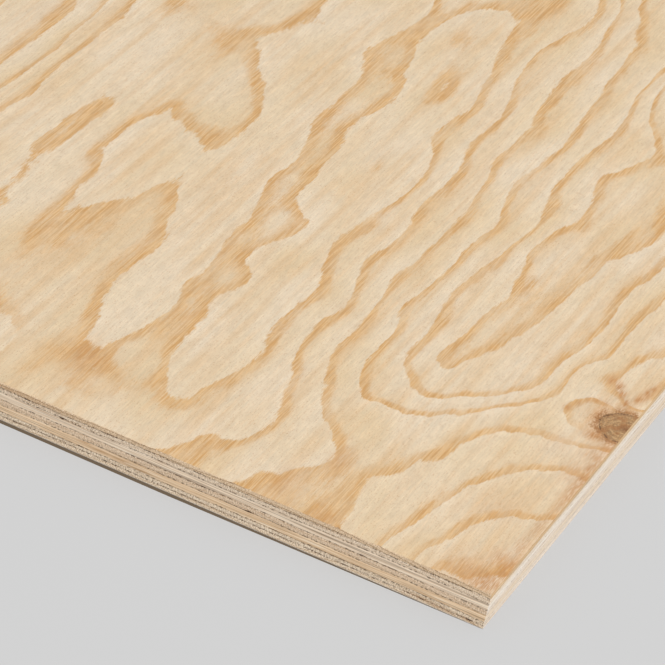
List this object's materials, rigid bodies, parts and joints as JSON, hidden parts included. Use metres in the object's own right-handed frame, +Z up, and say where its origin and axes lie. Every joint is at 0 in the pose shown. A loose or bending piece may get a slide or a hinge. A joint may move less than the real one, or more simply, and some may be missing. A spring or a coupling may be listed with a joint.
{
  "type": "plywood sheet",
  "caption": "Flat softwood plywood sheet of glued veneers in crossing grain, with sawn edges that show the layers, for flooring, sheathing, formwork or joinery.",
  "frame": {"origin": "middle of the back face, which lies on the floor", "axes": "+X along the length and the face grain, +Y across the width, +Z up from the back face to the face"},
  "size_m": [2.44, 1.22, 0.018],
  "materials": {
    "face_veneer": "sanded rotary-cut softwood, unfinished",
    "face_inner_veneer": "sawn end grain on the ends",
    "upper_crossband": "sawn, smooth along its grain on the ends",
    "core_veneer": "sawn end grain on the ends",
    "lower_crossband": "sawn, smooth along its grain on the ends",
    "back_inner_veneer": "sawn end grain on the ends",
    "back_veneer": "sawn end grain on the ends, sanded back"
  },
  "bodies": {
    "root": {"face_veneer": "face_veneer", "face_inner_veneer": "face_inner_veneer", "upper_crossband": "upper_crossband", "core_veneer": "core_veneer", "lower_crossband": "lower_crossband", "back_inner_veneer": "back_inner_veneer", "back_veneer": "back_veneer"}
  },
  "joints": []
}
